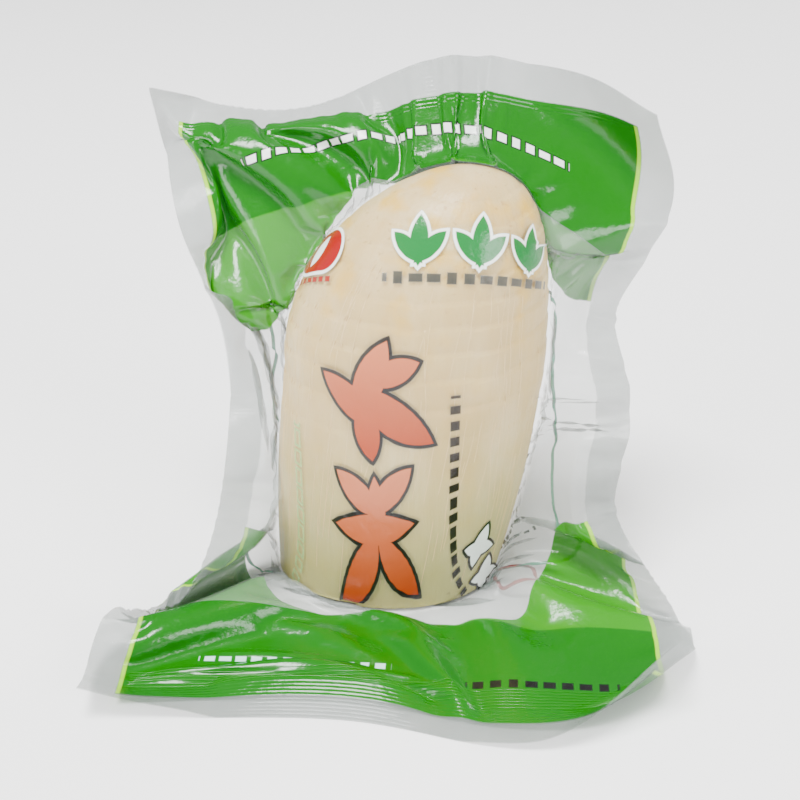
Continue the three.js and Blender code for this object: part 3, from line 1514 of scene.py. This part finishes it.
@dataclass
class NodeTree:
    """A Geometry Nodes tree that is built in the script and applied to an object."""

    name: str
    sizes: dict
    tree: bpy.types.NodeTree = field(init=False)
    keys: dict = field(init=False, default_factory=dict)
    start: bpy.types.Node = field(init=False)
    end: bpy.types.Node = field(init=False)

    def __post_init__(self) -> None:
        """Makes the tree with its geometry sockets and its named sizes."""
        self.tree = bpy.data.node_groups.new(self.name, "GeometryNodeTree")
        face = self.tree.interface
        face.new_socket("Geometry", in_out="INPUT", socket_type="NodeSocketGeometry")
        face.new_socket("Geometry", in_out="OUTPUT", socket_type="NodeSocketGeometry")
        for name, value in self.sizes.items():
            kind = "NodeSocketInt" if isinstance(value, int) else "NodeSocketFloat"
            self.keys[name] = face.new_socket(name, in_out="INPUT", socket_type=kind).identifier
        self.start = self.tree.nodes.new("NodeGroupInput")
        self.end = self.tree.nodes.new("NodeGroupOutput")

    def node(self, kind: str, **inputs: object) -> bpy.types.Node:
        """Adds a node.

        Args:
            kind: The node's type.
            inputs: Sockets to link or values to set; an underscore stands for a space.

        Returns:
            The node.
        """
        node = self.tree.nodes.new(kind)
        for key, value in inputs.items():
            socket = node.inputs[key.replace("_", " ")]
            if isinstance(value, bpy.types.NodeSocket):
                self.tree.links.new(value, socket)
            else:
                socket.default_value = value
        return node

    def finish(self, geometry: Socket, material: bpy.types.Material) -> None:
        """Ends the tree: real geometry with its material.

        Args:
            geometry: What the tree has made.
            material: Its material.
        """
        real = self.node("GeometryNodeRealizeInstances", Geometry=geometry)
        smooth = self.node("GeometryNodeSetShadeSmooth", Geometry=real.outputs[0])
        dressed = self.node("GeometryNodeSetMaterial", Geometry=smooth.outputs[0], Material=material)
        self.tree.links.new(dressed.outputs[0], self.end.inputs[0])

    @staticmethod
    def strands(name: str, radius: float, material: bpy.types.Material) -> "NodeTree":
        """A tree that turns a mesh's lines into round strands.

        Args:
            name: The tree's name.
            radius: The strands' radius, in metres.
            material: Their material.

        Returns:
            The tree.
        """
        made = NodeTree(name, {"Radius": radius, "Sides": 5})
        curve = made.node("GeometryNodeMeshToCurve", Mesh=made.start.outputs["Geometry"])
        ring = made.node("GeometryNodeCurvePrimitiveCircle", Resolution=made.start.outputs["Sides"],
                         Radius=made.start.outputs["Radius"])
        tube = made.node("GeometryNodeCurveToMesh", Curve=curve.outputs[0], Profile_Curve=ring.outputs[0],
                         Fill_Caps=True)
        made.finish(tube.outputs[0], material)
        return made

    def apply(self, obj: bpy.types.Object) -> None:
        """Runs the tree on an object and keeps the result as its plain mesh.

        Args:
            obj: The object.
        """
        modifier = obj.modifiers.new(self.name, "NODES")
        modifier.node_group = self.tree
        for name, value in self.sizes.items():
            modifier[self.keys[name]] = value
        bpy.context.view_layer.update()
        seen = obj.evaluated_get(bpy.context.evaluated_depsgraph_get())
        mesh = bpy.data.meshes.new_from_object(seen)
        obj.modifiers.remove(modifier)
        obj.data = mesh


@dataclass(frozen=True)
class PlainFinish:
    """One material of a small piece, with a little unevenness in its colour."""

    name: str
    colour: tuple
    second: tuple
    roughness: float
    alpha: float = 1.0

    def material(self) -> bpy.types.Material:
        """Builds the material.

        Returns:
            The material.
        """
        paint = Paint(self.name)
        cloud = paint.noise(paint.scaled(Spread.OBJECT, (1 / MM,) * 3), 0.3, 2.0)
        paint.link("Base Color", paint.mixed(cloud, self.colour, self.second))
        paint.set(Roughness=self.roughness, Alpha=self.alpha)
        paint.bump(((cloud, 0.0002, 0.2),))
        return paint.material


@dataclass
class SealRibs:
    """The fine ribs that the sealing bar pressed across the pouch's lower end."""

    place: PackPlace
    pair: FilmPair
    radius: float = 0.13
    lift: float = 0.08
    pitch: float = 1.3
    rows: tuple = (14.5, 23.0)
    margin: float = 13.0
    finish: PlainFinish = PlainFinish("seal_ribs", (0.012, 0.22, 0.004), (0.02, 0.26, 0.006), 0.2, 0.8)

    def build(self) -> bpy.types.Object:
        """Builds the ribs as tubes along lines on the front film.

        Returns:
            The ribs' object.
        """
        u = self.pair.flat[0]
        skin = self.pair.grid[0] + self.pair.normals()[0] * self.lift
        inside = (u[0] > self.margin) & (u[0] < self.pair.pouch.width - self.margin)
        lines = []
        for height in np.arange(*self.rows, self.pitch):
            row = height / self.pair.step_v
            below = int(row)
            lines.append((skin[below] + (skin[below + 1] - skin[below]) * (row - below))[inside])
        obj = self.place.lines("seal_ribs", lines)
        NodeTree.strands("seal_ribs", self.radius * MM, self.finish.material()).apply(obj)
        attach(obj, BODY)
        LOG.info("seal_ribs: %d faces", len(obj.data.polygons))
        return obj


@dataclass
class Fibres:
    """The flesh's long fibres, as fine strands that lie along the shoot and stand a little out of it."""

    place: PackPlace
    shoot: BambooShoot
    count: int = 260
    radius: float = 0.15
    sink: float = 0.06
    knots: int = 16
    shortest: float = 0.08
    longest: float = 0.3
    bottom: float = 0.02
    top: float = 0.86
    sway: float = 0.03
    seed: int = 5
    finish: PlainFinish = PlainFinish("fibres", (0.80, 0.62, 0.32), (0.66, 0.46, 0.18), 0.45)

    def build(self) -> bpy.types.Object:
        """Builds the strands.

        Returns:
            The strands' object.
        """
        rng = np.random.default_rng(self.seed)
        lines = []
        for _ in range(self.count):
            length = rng.uniform(self.shortest, self.longest)
            t = np.linspace(0, length, self.knots) + rng.uniform(self.bottom, self.top - length)
            angle = rng.uniform(0, 2 * math.pi) + rng.normal() * self.sway * np.sin(9 * t)
            lines.append(self.shoot.surface(t, angle, -self.sink))
        obj = self.place.lines("fibres", lines)
        NodeTree.strands("fibres", self.radius * MM, self.finish.material()).apply(obj)
        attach(obj, BODY)
        LOG.info("fibres: %d faces", len(obj.data.polygons))
        return obj


@dataclass
class Studio:
    """The floor, the lights and the camera."""

    place: PackPlace
    elevation: float = 29.0
    distance: float = 455.0
    target: tuple = (4.0, 0.0, 64.4)
    lens: float = 62.1
    floor_reach: float = 6.0
    world_strength: float = 0.6
    lights: tuple = (
        ("key", (-0.3, -0.35, 1.8), 0.7, 88.0),
        ("fill", (1.5, -1.3, 0.8), 0.9, 36.0),
        ("side", (-1.7, -1.2, 0.8), 0.9, 31.0),
        ("back", (1.5, 1.3, 0.9), 0.7, 22.0),
    )

    def build(self) -> None:
        """Builds the floor, the lights and the camera."""
        self._floor()
        world = bpy.data.worlds.new("studio")
        world.use_nodes = True
        world.node_tree.nodes["Background"].inputs[0].default_value = (1.0, 1.0, 1.0, 1.0)
        world.node_tree.nodes["Background"].inputs[1].default_value = self.world_strength
        bpy.context.scene.world = world
        for light in self.lights:
            self._light(*light)
        self._camera()

    def _floor(self) -> None:
        """Builds the plain pale floor."""
        reach = self.floor_reach
        mesh = bpy.data.meshes.new("floor")
        mesh.from_pydata([(-reach, -reach, 0.0), (reach, -reach, 0.0), (reach, reach, 0.0),
                          (-reach, reach, 0.0)], [], [(0, 1, 2, 3)])
        floor = bpy.data.objects.new("floor", mesh)
        bpy.context.scene.collection.objects.link(floor)
        paint = Paint("floor")
        paint.set(Base_Color=(0.98, 0.98, 0.98, 1.0), Roughness=0.9)
        mesh.materials.append(paint.material)

    def _camera(self) -> None:
        """Builds the camera, which looks down on the pack from the front."""
        camera = bpy.data.cameras.new("camera")
        camera.lens = self.lens
        eye = bpy.data.objects.new("camera", camera)
        bpy.context.scene.collection.objects.link(eye)
        aim = (np.array(self.target) + self.place.offset) * MM
        lift = math.radians(self.elevation)
        eye.location = aim + np.array([0, -math.cos(lift), math.sin(lift)]) * self.distance * MM
        eye.rotation_euler = (math.pi / 2 - lift, 0, 0)
        bpy.context.scene.camera = eye

    def _light(self, name: str, where: tuple, size: float, power: float) -> None:
        """Adds a square soft light that faces the pack.

        Args:
            name: The light's name.
            where: Its place, in metres.
            size: Its side, in metres.
            power: Its power, in watts.
        """
        data = bpy.data.lights.new(name, "AREA")
        data.size = size
        data.energy = power
        light = bpy.data.objects.new(name, data)
        bpy.context.scene.collection.objects.link(light)
        light.location = where
        light.rotation_euler = (Vector((0, 0, 0.08)) - Vector(where)).to_track_quat("-Z", "Y").to_euler()


def main() -> None:
    """Builds the pack and the studio, and notes the sizes."""
    logging.basicConfig(level=logging.INFO, format="%(name)s: %(message)s")
    place = PackPlace()
    shoot = BambooShoot(place)
    shoot.build()
    Fibres(place, shoot).build()
    pouch = Pouch(place)
    pouch.build()
    SealRibs(place, pouch.pair).build()
    Studio(place).build()


if __name__ == "__main__":
    main()
